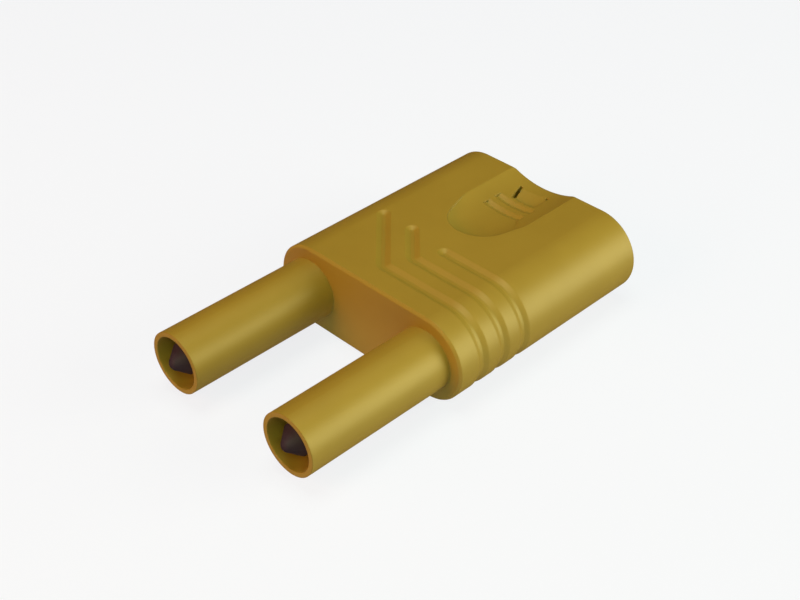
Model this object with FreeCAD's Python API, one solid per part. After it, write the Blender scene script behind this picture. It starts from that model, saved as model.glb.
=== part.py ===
import FreeCAD, Part
import math
import os

# A safety shorting plug: two shrouded 4 mm contact pins on a 19 mm pitch, joined by a brass bar
# that is moulded into a flat grip body of one yellow insulating plastic.
#
# Frame: X runs across the two plugs, the plugs point along -Y, Z is up.
# The origin is the middle of the seating face, the body's front face, on the plane of both pin axes.

V = FreeCAD.Vector

# Grip body: a flat bar with round ends that are concentric with the pins
pin_pitch = 19.0
body_thickness = 11.0
body_length = 31.5
front_edge_chamfer = 0.3
rear_edge_chamfer = 0.15

# Rigid shrouds, moulded in one piece with the body
shroud_radius = 3.9
shroud_wall = 0.6
shroud_length = 20.6
bore_depth_in_body = 1.0

# Grip grooves: shallow channels with sloping flanks that follow the skin round the right end
groove_width = 1.75
groove_floor_width = 0.45
groove_depth = 0.3
groove_pitch = 3.5
first_groove_y = 3.9
first_groove_corner_x = -1.2
groove_corner_step = 1.4
groove_bend_radius = 1.3
diagonal_end_y = 11.7
diagonal_angle = 45.0
diagonal_groove_count = 2
straight_groove_end_x = 2.05
straight_groove_count = 1

# Thumb recesses, top and underside: a shallow trough with a round front end that flares rearward
recess_front_radius = 4.3
recess_front_y = 15.48
recess_flare_angle = 15.0
recess_depth = 1.1
recess_half_width = 5.1

# Round field at the front of the top recess: its floor lies a little further right
field_shift = 0.4

# Finger marks in the floor of the top recess
floor_groove_y = 23.75
floor_groove_pitch = 2.1
floor_groove_count = 2
floor_groove_half_length = 2.85
floor_groove_width = 1.25
floor_groove_floor_width = 0.2
floor_groove_depth = 0.32
wedge_front_y = 27.0
wedge_length = 2.7
wedge_width = 3.8
wedge_centre_x = 0.35
wedge_depth = 0.5
slot_width = 0.42
slot_length = 2.25
slot_depth = 1.5
slot_lean = 15.7
slot_front_x = -1.48
slot_front_y = 27.5
pit_radius = 0.2
pit_depth = 0.5
pit_x = 2.05
pit_y = 29.7

# Contact pins, turned from brass rod
pin_radius = 2.0
collar_length = 0.9
waist_radius = 1.45
waist_length = 12.0
nose_spigot_radius = 0.9
nose_spigot_length = 1.7
seat_radius = 2.3
rivet_radius = 1.5
rivet_head_radius = 2.3
rivet_head_height = 0.8

# Insulating nose of each pin
nose_proud = 0.7
nose_tip_radius = 0.88
nose_half_angle = 39.6
nose_base_radius = 1.95
nose_land = 0.5

# Spring cage round the waist of each pin
cage_thickness = 0.15
cage_clearance = 0.03
cage_end_play = 0.1
cage_ring_length = 0.9
cage_crown_radius = 2.2
cage_crown_length = 3.0
cage_slat_count = 8
cage_slot_width = 0.4

# Shorting bar
bar_thickness = 2.0
bar_width = 7.0
bar_front_y = 9.0

# How far a cutter runs on past the face that it opens, and a groove's cutter above the skin
overshoot = 1.0
groove_overshoot = 0.1

# Places worked out from the sizes above
half_pitch = pin_pitch / 2
end_radius = body_thickness / 2
bore_radius = shroud_radius - shroud_wall
upward = V(0, 0, 1)
forward = V(0, -1, 0)
rearward = V(0, 1, 0)
sides = {"left": -half_pitch, "right": half_pitch}

# The nose: a small ball that runs on into a cone, then a short cylindrical land
nose_tip_y = -shroud_length - nose_proud
nose_angle = math.radians(nose_half_angle)
nose_ball_y = nose_tip_y + nose_tip_radius
nose_cone_y = nose_ball_y - nose_tip_radius * math.sin(nose_angle)
nose_cone_radius = nose_tip_radius * math.cos(nose_angle)
nose_land_y = nose_cone_y + (nose_base_radius - nose_cone_radius) / math.tan(nose_angle)
nose_base_y = nose_land_y + nose_land

# The pin, from the back of the nose to the rivet head behind the bar
waist_front_y = nose_base_y + collar_length
waist_rear_y = waist_front_y + waist_length
bar_rear_y = bar_front_y + bar_thickness

# A groove's flanks run on above the skin with the same slope
groove_flank_run = (groove_width - groove_floor_width) / 2
groove_mouth_radius = groove_width / 2 + groove_flank_run * groove_overshoot / groove_depth

# The trough's floor is part of a cylinder along Y that meets the flat top at the half width
recess_floor_radius = (recess_half_width ** 2 + recess_depth ** 2) / (2 * recess_depth)
recess_axis_z = end_radius - recess_depth + recess_floor_radius
recess_centre_y = recess_front_y + recess_front_radius


def turned(points, centre_x=0.0):
    """Solid of revolution about a pin axis from (y, radius) points, first and last joined."""
    outline = Part.makePolygon([V(0, y, radius) for y, radius in points])
    closing = Part.makeLine(V(0, *points[-1]), V(0, *points[0]))
    face = Part.Face(Part.Wire(outline.Edges + [closing]))
    solid = face.revolve(V(0, 0, 0), rearward, 360)
    solid.translate(V(centre_x, 0, 0))
    return solid


def stadium(half_distance, radius, front_y, length):
    """Bar along Y whose section is two half circles about the pin axes joined by two flats."""
    left = V(-half_distance, front_y, 0)
    right = V(half_distance, front_y, 0)
    up = V(0, 0, radius)
    out = V(radius, 0, 0)
    edges = [
        Part.makeLine(left + up, right + up),
        Part.Arc(right + up, right + out, right - up).toShape(),
        Part.makeLine(right - up, left - up),
        Part.Arc(left - up, left - out, left + up).toShape(),
    ]
    return Part.Face(Part.Wire(edges)).extrude(V(0, length, 0))


def mirrored(shape):
    """The same shape on the underside."""
    return shape.mirror(V(0, 0, 0), upward)


def edges_at(shape, front_y):
    """Edges that lie wholly in one plane across Y."""
    return [
        edge
        for edge in shape.Edges
        if abs(edge.BoundBox.YMin - front_y) < 1e-4 and abs(edge.BoundBox.YMax - front_y) < 1e-4
    ]


def grip_body():
    body = stadium(half_pitch, end_radius, 0, body_length)
    body = body.makeChamfer(front_edge_chamfer, edges_at(body, 0))
    return body.makeChamfer(rear_edge_chamfer, edges_at(body, body_length))


def shroud(centre_x):
    """Outside of one shroud, rooted in the body as deep as its bore."""
    return pin_rod(shroud_radius, centre_x)


def shroud_bore(centre_x):
    return pin_rod(bore_radius, centre_x)


def pin_rod(radius, centre_x):
    """Rod on a pin axis, from the shroud's rim to the floor of its bore."""
    length = shroud_length + bore_depth_in_body
    return Part.makeCylinder(radius, length, V(centre_x, -shroud_length, 0), rearward)


def groove_section(point, heading):
    """Section of a grip groove, square to its heading, at a point on the flat top."""
    floor = heading.cross(upward) * (groove_floor_width / 2)
    mouth = heading.cross(upward) * groove_mouth_radius
    bottom = point - upward * groove_depth
    top = point + upward * groove_overshoot
    corners = [bottom - floor, bottom + floor, top + mouth, top - mouth, bottom - floor]
    return Part.Face(Part.makePolygon(corners))


def groove_end(point):
    """Round end of a grip groove: the same section turned about an upright axis."""
    bottom = point - upward * groove_depth
    height = groove_depth + groove_overshoot
    return Part.makeCone(groove_floor_width / 2, groove_mouth_radius, height, bottom, upward)


def wrapped_groove(groove_y, end_x, diagonal):
    """Cutter for one grip groove: in from its end, across the top and round the right end."""
    across = V(1, 0, 0)
    crown = V(half_pitch, groove_y, end_radius)
    corner = V(end_x, groove_y, end_radius)
    if diagonal:
        turn = math.radians(diagonal_angle)
        tangent = groove_bend_radius * math.tan(turn / 2)
        back = V(-math.cos(turn), math.sin(turn), 0)
        run_start = corner + across * tangent
        bend_end = corner + back * tangent
        end = corner + back * ((diagonal_end_y - groove_y) / math.sin(turn))
        centre = run_start + rearward * groove_bend_radius
        tools = [
            groove_section(run_start, across).revolve(centre, -upward, diagonal_angle),
            groove_section(bend_end, back).extrude(end - bend_end),
            groove_end(end),
        ]
    else:
        run_start = corner
        tools = [groove_end(corner)]
    tools.append(groove_section(run_start, across).extrude(crown - run_start))
    wrap = groove_section(crown, across).revolve(V(half_pitch, groove_y, 0), rearward, 180)
    return wrap.fuse(tools + [mirrored(tool) for tool in tools])


def grip_grooves():
    """Cutters for all grip grooves, from the front: first those that turn back diagonally."""
    cutters = []
    for index in range(diagonal_groove_count + straight_groove_count):
        straight_index = index - diagonal_groove_count
        diagonal = straight_index < 0
        if diagonal:
            end_x = first_groove_corner_x + index * groove_corner_step
        else:
            end_x = straight_groove_end_x + straight_index * groove_corner_step
        cutters.append(wrapped_groove(first_groove_y + index * groove_pitch, end_x, diagonal))
    return cutters


def trough():
    """Long cylinder that cuts the round floor of a recess."""
    length = body_length + overshoot - recess_front_y
    start = V(0, recess_front_y, recess_axis_z)
    return Part.makeCylinder(recess_floor_radius, length, start, rearward)


def thumb_recess():
    """Cutter for the top recess: the trough inside an outline that is round in front and flares."""
    flare = math.radians(recess_flare_angle)
    past_rear = body_length + overshoot
    touch_x = recess_front_radius * math.cos(flare)
    touch_y = recess_centre_y - recess_front_radius * math.sin(flare)
    rear_x = touch_x + (past_rear - touch_y) * math.tan(flare)
    left = V(-touch_x, touch_y, 0)
    right = V(touch_x, touch_y, 0)
    left_rear = V(-rear_x, past_rear, 0)
    right_rear = V(rear_x, past_rear, 0)
    outline = Part.Wire(
        [
            Part.Arc(left, V(0, recess_front_y, 0), right).toShape(),
            Part.makeLine(right, right_rear),
            Part.makeLine(right_rear, left_rear),
            Part.makeLine(left_rear, left),
        ]
    )
    walls = Part.Face(outline).extrude(V(0, 0, end_radius + overshoot))
    return trough().common(walls)


def round_field():
    """Cutter for the round field, which steps down from the floor of the recess at its right."""
    height = end_radius + overshoot
    disc = Part.makeCylinder(recess_front_radius, height, V(0, recess_centre_y, 0))
    floor = trough()
    floor.translate(V(field_shift, 0, 0))
    return floor.common(disc)


def floor_arc(section, half_angle):
    """A section in the plane across X, swept about the axis of the recess floor, to both sides."""
    centre = V(0, 0, recess_axis_z)
    face = Part.Face(section)
    face.rotate(centre, rearward, half_angle)
    return face.revolve(centre, rearward, -2 * half_angle)


def floor_groove(groove_y):
    """Cutter for one finger groove: a channel with sloping flanks, bent to the round floor."""
    rise = recess_depth / 2
    run = (floor_groove_width - floor_groove_floor_width) / 2 * (1 + rise / floor_groove_depth)
    bottom = end_radius - recess_depth - floor_groove_depth
    top = bottom + floor_groove_depth + rise
    tread = floor_groove_floor_width / 2
    section = Part.makePolygon(
        [
            V(0, groove_y - tread, bottom),
            V(0, groove_y + tread, bottom),
            V(0, groove_y + tread + run, top),
            V(0, groove_y - tread - run, top),
            V(0, groove_y - tread, bottom),
        ]
    )
    half_angle = math.degrees(math.asin(floor_groove_half_length / recess_floor_radius))
    return floor_arc(section, half_angle)


def floor_wedge():
    """Cutter for the stepped notch: steep at its front, rising to the round floor at its back."""
    rise = wedge_depth / wedge_length
    floor_z = end_radius - recess_depth
    back_y = wedge_front_y + wedge_length + overshoot
    profile = Part.makePolygon(
        [
            V(0, wedge_front_y, floor_z - wedge_depth),
            V(0, back_y, floor_z + rise * overshoot),
            V(0, back_y, end_radius),
            V(0, wedge_front_y, end_radius),
            V(0, wedge_front_y, floor_z - wedge_depth),
        ]
    )
    wedge = floor_arc(profile, math.degrees(math.asin(wedge_width / 2 / recess_floor_radius)))
    wedge.translate(V(wedge_centre_x, 0, 0))
    return wedge


def floor_slot():
    """Cutter for the narrow slot that stands at the left end of the notch."""
    bottom = end_radius - recess_depth - slot_depth
    height = recess_depth + slot_depth
    slot = Part.makeBox(slot_width, slot_length, height, V(-slot_width / 2, 0, bottom))
    slot.rotate(V(0, 0, 0), upward, slot_lean)
    slot.translate(V(slot_front_x, slot_front_y, 0))
    return slot


def floor_pit():
    """Cutter for the small round pit behind the right end of the notch."""
    bottom = end_radius - recess_depth - pit_depth
    return Part.makeCylinder(pit_radius, recess_depth + pit_depth, V(pit_x, pit_y, bottom))


def nose(centre_x):
    """Insulating nose with the blind hole for the pin's spigot."""
    arc_middle = (math.pi / 2 - nose_angle) / 2
    tip = V(0, nose_tip_y, 0)
    ball_side = V(
        0,
        nose_ball_y - nose_tip_radius * math.cos(arc_middle),
        nose_tip_radius * math.sin(arc_middle),
    )
    cone_start = V(0, nose_cone_y, nose_cone_radius)
    land_start = V(0, nose_land_y, nose_base_radius)
    land_end = V(0, nose_base_y, nose_base_radius)
    hole_rim = V(0, nose_base_y, nose_spigot_radius)
    hole_floor = V(0, nose_base_y - nose_spigot_length, nose_spigot_radius)
    hole_end = V(0, nose_base_y - nose_spigot_length, 0)
    outline = Part.Wire(
        [
            Part.Arc(tip, ball_side, cone_start).toShape(),
            Part.makeLine(cone_start, land_start),
            Part.makeLine(land_start, land_end),
            Part.makeLine(land_end, hole_rim),
            Part.makeLine(hole_rim, hole_floor),
            Part.makeLine(hole_floor, hole_end),
            Part.makeLine(hole_end, tip),
        ]
    )
    solid = Part.Face(outline).revolve(V(0, 0, 0), rearward, 360)
    solid.translate(V(centre_x, 0, 0))
    return solid


def contact_pin(centre_x):
    """Turned pin: spigot, collar, waist, shank, seat in the body and bar rivet."""
    return turned(
        [
            (nose_base_y - nose_spigot_length, 0),
            (nose_base_y - nose_spigot_length, nose_spigot_radius),
            (nose_base_y, nose_spigot_radius),
            (nose_base_y, pin_radius),
            (waist_front_y, pin_radius),
            (waist_front_y, waist_radius),
            (waist_rear_y, waist_radius),
            (waist_rear_y, pin_radius),
            (bore_depth_in_body, pin_radius),
            (bore_depth_in_body, seat_radius),
            (bar_front_y, seat_radius),
            (bar_front_y, rivet_radius),
            (bar_rear_y, rivet_radius),
            (bar_rear_y, rivet_head_radius),
            (bar_rear_y + rivet_head_height, rivet_head_radius),
            (bar_rear_y + rivet_head_height, 0),
        ],
        centre_x,
    )


def spring_cage(centre_x):
    """Two rings joined by slats that ramp out to a crown, made from one thin sheet rolled round."""
    inner = waist_radius + cage_clearance
    front = waist_front_y + cage_end_play
    rear = waist_rear_y - cage_end_play
    slat_front = front + cage_ring_length
    slat_rear = rear - cage_ring_length
    crown_front = (front + rear - cage_crown_length) / 2
    crown_rear = crown_front + cage_crown_length
    inside = [
        (front, inner),
        (slat_front, inner),
        (crown_front, cage_crown_radius - cage_thickness),
        (crown_rear, cage_crown_radius - cage_thickness),
        (slat_rear, inner),
        (rear, inner),
    ]
    outside = [(y, radius + cage_thickness) for y, radius in reversed(inside)]
    cage = turned(inside + outside)
    gaps = []
    for index in range(cage_slat_count):
        gap = Part.makeBox(
            cage_slot_width,
            slat_rear - slat_front,
            cage_crown_radius + overshoot,
            V(-cage_slot_width / 2, slat_front, 0),
        )
        gap.rotate(V(0, 0, 0), rearward, index * 360 / cage_slat_count)
        gaps.append(gap)
    cage = cage.cut(gaps)
    cage.translate(V(centre_x, 0, 0))
    return cage


def shorting_bar():
    """Flat brass link with a rivet hole on each pin axis."""
    bar = stadium(half_pitch, bar_width / 2, bar_front_y, bar_thickness)
    holes = [
        Part.makeCylinder(rivet_radius, bar_thickness, V(x, bar_front_y, 0), rearward)
        for x in sides.values()
    ]
    return bar.cut(holes)


def housing_with(inserts):
    """The yellow moulding: body and shrouds in one, moulded round the metal parts."""
    housing = grip_body().fuse([shroud(x) for x in sides.values()])
    recess = thumb_recess()
    housing = housing.cut(grip_grooves() + [recess, mirrored(recess)])
    marks = [floor_groove(floor_groove_y + i * floor_groove_pitch) for i in range(floor_groove_count)]
    housing = housing.cut(marks + [round_field(), floor_wedge(), floor_slot(), floor_pit()])
    housing = housing.cut([shroud_bore(x) for x in sides.values()])
    return housing.cut(inserts)


def build():
    pins = {side: contact_pin(x) for side, x in sides.items()}
    bar = shorting_bar()
    nodes = {"housing": housing_with(list(pins.values()) + [bar]), "shorting_bar": bar}
    for side, x in sides.items():
        nodes[f"contact_pin_{side}"] = pins[side]
        nodes[f"spring_cage_{side}"] = spring_cage(x)
        nodes[f"pin_nose_{side}"] = nose(x)
    return nodes


os.makedirs("parts", exist_ok=True)
for name, shape in build().items():
    solid = shape.Solids[0]
    solid.exportStep(f"parts/{name}.step")
    print(f"{name}: {len(shape.Solids)} solid, {solid.Volume:.1f} mm3, valid {solid.isValid()}")
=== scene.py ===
# %% [markdown]
# # A yellow safety shorting plug
# The real object is small: a flat grip of yellow polyamide, 30 mm wide, with two round shrouds that
# each guard a 4 mm contact pin. Inside the grip a brass bar joins the pins, so the plug shorts the
# two sockets that it is pushed into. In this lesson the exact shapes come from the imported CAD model,
# and Blender gives them their finishes, their light and the camera.
#
# All lengths in Blender are metres, so a value in millimetres is multiplied by `MM`.

# %% Load the frame
import bpy
import math
from mathutils import Matrix, Vector

MM = 0.001
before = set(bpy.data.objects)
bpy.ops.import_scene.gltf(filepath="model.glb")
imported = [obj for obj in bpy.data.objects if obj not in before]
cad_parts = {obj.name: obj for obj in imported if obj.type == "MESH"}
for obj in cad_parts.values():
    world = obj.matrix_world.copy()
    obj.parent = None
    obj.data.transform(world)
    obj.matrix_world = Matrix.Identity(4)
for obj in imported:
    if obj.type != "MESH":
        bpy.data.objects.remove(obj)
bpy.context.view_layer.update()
bpy.ops.object.select_all(action="DESELECT")
print("CAD nodes:", sorted(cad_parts))

# %% [markdown]
# ## Colours
# A colour picker and a paint chart both give colours as sRGB hex values, but shaders work in linear
# light. One function does that change, so every colour below can be written the way it is picked.

# %% Colour helper
def linear(hex_colour, alpha=1.0):
    """Linear RGBA of an sRGB colour such as "947524"."""
    parts = [int(hex_colour[i : i + 2], 16) / 255 for i in (0, 2, 4)]
    light = [p / 12.92 if p <= 0.04045 else ((p + 0.055) / 1.055) ** 2.4 for p in parts]
    return (*light, alpha)


print("the grip's yellow in linear light:", [round(v, 3) for v in linear("947524")])

# %% [markdown]
# ## A helper for node trees
# A procedural material is a chain of small nodes. The function below adds one node, sets its values
# and links its inputs, so that each material reads as a list of the steps that build its look.

# %% Node helper
def add_node(tree, kind, inputs=None, links=None, **settings):
    """Adds a node, sets properties and input values, and links (socket name: output socket)."""
    node = tree.nodes.new(kind)
    for name, value in settings.items():
        setattr(node, name, value)
    for name, value in (inputs or {}).items():
        node.inputs[name].default_value = value
    for name, source in (links or {}).items():
        tree.links.new(source, node.inputs[name])
    return node


def new_material(name):
    """An empty material: its node tree, its Principled shader and its object coordinates."""
    material = bpy.data.materials.new(name)
    material.use_nodes = True
    tree = material.node_tree
    shader = tree.nodes["Principled BSDF"]
    place = add_node(tree, "ShaderNodeTexCoord").outputs["Object"]
    return material, tree, shader, place


def dress(node_name, material):
    """Puts one material on a CAD node."""
    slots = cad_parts[node_name].material_slots
    for slot in slots:
        slot.link = "OBJECT"
        slot.material = material
    print(node_name, "is", material.name)

# %% [markdown]
# ## Yellow moulded polyamide
# The grip and both shrouds are one injection moulding in polyamide. Its surface copies the steel
# mould: satin, with the faint grain of spark erosion, about 0.12 mm from bump to bump. The pigment
# flows a little unevenly as the mould fills, so the colour drifts by a few percent over a
# centimetre. No moulded edge is really sharp, so the Bevel node rounds the shading of every edge
# over 0.2 mm without any change of shape.

# %% Yellow polyamide
GRAIN = 0.12 * MM
FLOW = 9 * MM

yellow, tree, shader, place = new_material("yellow_moulded_polyamide")
flow = add_node(
    tree, "ShaderNodeTexNoise", {"Scale": 1 / FLOW, "Detail": 3.0, "Roughness": 0.55}, {"Vector": place}
)
grain = add_node(
    tree, "ShaderNodeTexNoise", {"Scale": 1 / GRAIN, "Detail": 2.0, "Roughness": 0.5}, {"Vector": place}
)
tint = add_node(tree, "ShaderNodeValToRGB", links={"Fac": flow.outputs["Fac"]})
tint.color_ramp.elements[0].position = 0.3
tint.color_ramp.elements[0].color = linear("947524")
tint.color_ramp.elements[1].position = 0.7
tint.color_ramp.elements[1].color = linear("9A7B28")
gloss = add_node(
    tree,
    "ShaderNodeMapRange",
    {"From Min": 0.3, "From Max": 0.7, "To Min": 0.47, "To Max": 0.54},
    {"Value": grain.outputs["Fac"]},
)
soft_edge = add_node(tree, "ShaderNodeBevel", {"Radius": 0.2 * MM}, samples=6)
relief = add_node(
    tree,
    "ShaderNodeBump",
    {"Strength": 0.12, "Distance": 0.01 * MM},
    {"Height": grain.outputs["Fac"], "Normal": soft_edge.outputs["Normal"]},
)
tree.links.new(tint.outputs["Color"], shader.inputs["Base Color"])
tree.links.new(gloss.outputs["Result"], shader.inputs["Roughness"])
tree.links.new(relief.outputs["Normal"], shader.inputs["Normal"])
shader.inputs["IOR"].default_value = 1.53
shader.inputs["Specular Tint"].default_value = linear("FFF3B6")
shader.inputs["Specular IOR Level"].default_value = 0.7
dress("housing", yellow)

# %% [markdown]
# ## Dark pin noses
# Each contact ends in a moulded nose of dark brown-grey polyamide, so that a finger can't touch live
# metal. It is duller than the grip.

# %% Dark polyamide
dark, tree, shader, place = new_material("dark_moulded_polyamide")
speck = add_node(
    tree, "ShaderNodeTexNoise", {"Scale": 1 / (0.1 * MM), "Detail": 2.0}, {"Vector": place}
)
tint = add_node(tree, "ShaderNodeValToRGB", links={"Fac": speck.outputs["Fac"]})
tint.color_ramp.elements[0].position = 0.35
tint.color_ramp.elements[0].color = linear("301F29")
tint.color_ramp.elements[1].position = 0.65
tint.color_ramp.elements[1].color = linear("37262E")
relief = add_node(
    tree,
    "ShaderNodeBump",
    {"Strength": 0.15, "Distance": 0.008 * MM},
    {"Height": speck.outputs["Fac"]},
)
tree.links.new(tint.outputs["Color"], shader.inputs["Base Color"])
tree.links.new(relief.outputs["Normal"], shader.inputs["Normal"])
shader.inputs["Roughness"].default_value = 0.6
shader.inputs["IOR"].default_value = 1.53
dress("pin_nose_left", dark)
dress("pin_nose_right", dark)

# %% [markdown]
# ## Nickel-plated brass
# The pins are turned on a lathe and then nickel plated. Turning leaves fine rings round the axis, a
# few hundredths of a millimetre apart, which the thin plating still shows. They are drawn at 0.15 mm
# here, because anything finer would vanish in the picture. A band of the wave texture is pi / 10
# divided by its scale wide, which gives the scale for a width in metres.

# %% Turned pins
TURNING = 0.15 * MM
nickel, tree, shader, place = new_material("nickel_plated_turned_brass")
rings = add_node(
    tree,
    "ShaderNodeTexWave",
    {"Scale": math.pi / 10 / TURNING, "Distortion": 1.5, "Detail": 1.0},
    {"Vector": place},
    bands_direction="Y",
)
dull = add_node(
    tree,
    "ShaderNodeMapRange",
    {"To Min": 0.22, "To Max": 0.32},
    {"Value": rings.outputs["Fac"]},
)
relief = add_node(
    tree,
    "ShaderNodeBump",
    {"Strength": 0.2, "Distance": 0.004 * MM},
    {"Height": rings.outputs["Fac"]},
)
tree.links.new(dull.outputs["Result"], shader.inputs["Roughness"])
tree.links.new(relief.outputs["Normal"], shader.inputs["Normal"])
shader.inputs["Base Color"].default_value = linear("C9C3B6")
shader.inputs["Metallic"].default_value = 1.0
dress("contact_pin_left", nickel)
dress("contact_pin_right", nickel)

# %% [markdown]
# ## Spring cage and shorting bar
# The cage is punched from thin hard sheet and plated, so it is smoother than the pin. The bar inside
# the grip is plain punched brass with the faint streaks of rolled strip along its length.

# %% Sheet metals
spring, tree, shader, place = new_material("nickel_plated_spring_sheet")
cloud = add_node(tree, "ShaderNodeTexNoise", {"Scale": 1 / (0.8 * MM), "Detail": 2.0}, {"Vector": place})
dull = add_node(
    tree, "ShaderNodeMapRange", {"To Min": 0.18, "To Max": 0.3}, {"Value": cloud.outputs["Fac"]}
)
tree.links.new(dull.outputs["Result"], shader.inputs["Roughness"])
shader.inputs["Base Color"].default_value = linear("D0CBC0")
shader.inputs["Metallic"].default_value = 1.0
dress("spring_cage_left", spring)
dress("spring_cage_right", spring)

brass, tree, shader, place = new_material("rolled_brass_strip")
along = add_node(tree, "ShaderNodeMapping", {"Scale": (0.05, 1, 1)}, {"Vector": place})
streak = add_node(
    tree,
    "ShaderNodeTexNoise",
    {"Scale": 1 / (0.2 * MM), "Detail": 3.0},
    {"Vector": along.outputs["Vector"]},
)
dull = add_node(
    tree, "ShaderNodeMapRange", {"To Min": 0.25, "To Max": 0.4}, {"Value": streak.outputs["Fac"]}
)
tree.links.new(dull.outputs["Result"], shader.inputs["Roughness"])
shader.inputs["Base Color"].default_value = linear("D9B566")
shader.inputs["Metallic"].default_value = 1.0
dress("shorting_bar", brass)

# %% [markdown]
# ## Floor
# The plug rests on its flat underside. Pictures of small parts with no shadow are taken on a light
# table: a sheet of white acrylic that is lit from below, so most of its brightness is its own glow.
# The sheet is a plain quad, and its glow is the shader's emission. A satin part mirrors such a
# sheet in every low side and looks washed out, so the sheet is hidden from glossy rays.

# %% Floor
UNDERSIDE = -5.5 * MM
GLOW_COLOUR = "FAFBFF"
GLOW = 0.83

bpy.ops.mesh.primitive_plane_add(size=3.0, location=(0, 0, 0))
floor = bpy.context.object
floor.name = "floor"
floor.data.transform(Matrix.Translation((0, 0, UNDERSIDE)))
acrylic, tree, shader, place = new_material("white_acrylic_light_table")
shader.inputs["Base Color"].default_value = linear("616161")
shader.inputs["Roughness"].default_value = 0.9
shader.inputs["Emission Color"].default_value = linear(GLOW_COLOUR)
shader.inputs["Emission Strength"].default_value = GLOW
floor.data.materials.append(acrylic)
floor.visible_glossy = False

# %% [markdown]
# ## Backdrop
# Seen from a low angle the sheet ends in a dark horizon. A wide dome that glows just as brightly
# stands round it, like the cloth tent of a product photographer. It is hidden from the rays that
# light the plug, so it changes the background only.

# %% Backdrop
bpy.ops.mesh.primitive_uv_sphere_add(segments=64, ring_count=32, radius=1.4, location=(0, 0, 0))
dome = bpy.context.object
dome.name = "backdrop"
cloth, tree, shader, place = new_material("white_tent_cloth")
shader.inputs["Base Color"].default_value = linear("000000")
shader.inputs["Specular IOR Level"].default_value = 0.0
shader.inputs["Emission Color"].default_value = linear(GLOW_COLOUR)
shader.inputs["Emission Strength"].default_value = GLOW
dome.data.materials.append(cloth)
bpy.ops.object.shade_smooth()
for way in ("visible_diffuse", "visible_glossy", "visible_shadow"):
    setattr(dome, way, False)

# %% [markdown]
# ## Light
# One wide key light stands low at the rear right and draws the broad streak along the round sides.
# An overhead light makes the flat top even, and two warm ones in front colour the front face and
# reach the floor of each bore. A weak, cooler fill at the right keeps the grooves and the round end
# from turning orange as well. The warm lights are hidden from glossy rays, because seen from behind
# they would lie on the satin top as an orange mirror image.
#
# Each light is placed by compass angle and height round the plug, as on a studio floor plan. The
# standard view transform keeps the colours as they were picked.

# %% Lights
LIGHT_DISTANCE = 0.4

bpy.context.scene.view_settings.view_transform = "Standard"
world = bpy.data.worlds.new("dim_studio")
bpy.context.scene.world = world
world.use_nodes = True
world.node_tree.nodes["Background"].inputs["Color"].default_value = linear("FFFFFF")
world.node_tree.nodes["Background"].inputs["Strength"].default_value = 0.01


def soft_light(name, azimuth, elevation, size, power, colour):
    """A square area light, its size in metres and its power in watts, that looks at the plug.

    Azimuth 0 is in front of the plug, 90 at its right."""
    around, above = math.radians(azimuth), math.radians(elevation)
    level = LIGHT_DISTANCE * math.cos(above)
    spot = Vector(
        (level * math.sin(around), -level * math.cos(around), LIGHT_DISTANCE * math.sin(above))
    )
    bpy.ops.object.light_add(type="AREA", location=spot)
    light = bpy.context.object
    light.name = name
    light.data.size = size
    light.data.energy = power
    light.data.color = linear(colour)[:3]
    light.rotation_euler = (-spot).to_track_quat("-Z", "Y").to_euler()
    print(name, "at", [round(v, 2) for v in spot])


soft_light("overhead", 0, 88, 0.20, 0.80, "F3FFF1")
soft_light("key", 125, 14, 0.30, 1.67, "FBFFE9")
soft_light("front_warm", -10, 28, 0.20, 0.92, "FFB899")
soft_light("front_left", -45, 25, 0.20, 0.30, "FFB899")
for name in ("front_warm", "front_left"):
    bpy.data.objects[name].visible_glossy = False
soft_light("right_fill", 45, 45, 0.20, 0.44, "C3FFBC")

# %% [markdown]
# ## Camera
# The camera stands to the front right and looks down on the plug. Its place and lens were worked
# out so that the outlines of the model fall on those of the real plug in a picture of 800 by 600.
# The focal length is in pixels of that picture, and the target lies a little right of and above
# the origin, as the camera sees it.

# %% Camera
AZIMUTH = math.radians(44.7506)
ELEVATION = math.radians(36.5966)
ROLL = math.radians(0.3219)
DISTANCE = 161.7568 * MM
FOCAL_PIXELS = 1385.4149
PICTURE_WIDTH = 800
TARGET_RIGHT = 3.8965 * MM
TARGET_UP = 2.5206 * MM

back = Vector(
    (
        math.sin(AZIMUTH) * math.cos(ELEVATION),
        -math.cos(AZIMUTH) * math.cos(ELEVATION),
        math.sin(ELEVATION),
    )
)
right = Vector((math.cos(AZIMUTH), math.sin(AZIMUTH), 0))
up = back.cross(right)
target = right * TARGET_RIGHT + up * TARGET_UP
rolled_right = right * math.cos(ROLL) + up * math.sin(ROLL)
rolled_up = up * math.cos(ROLL) - right * math.sin(ROLL)
turn = Matrix((rolled_right, rolled_up, back)).transposed()
bpy.ops.object.camera_add(location=target + back * DISTANCE, rotation=turn.to_euler())
camera = bpy.context.object
camera.data.sensor_width = 36.0
camera.data.lens = FOCAL_PIXELS * camera.data.sensor_width / PICTURE_WIDTH
camera.data.clip_start = 0.01
bpy.context.scene.camera = camera
print("camera lens", round(camera.data.lens, 2), "mm")
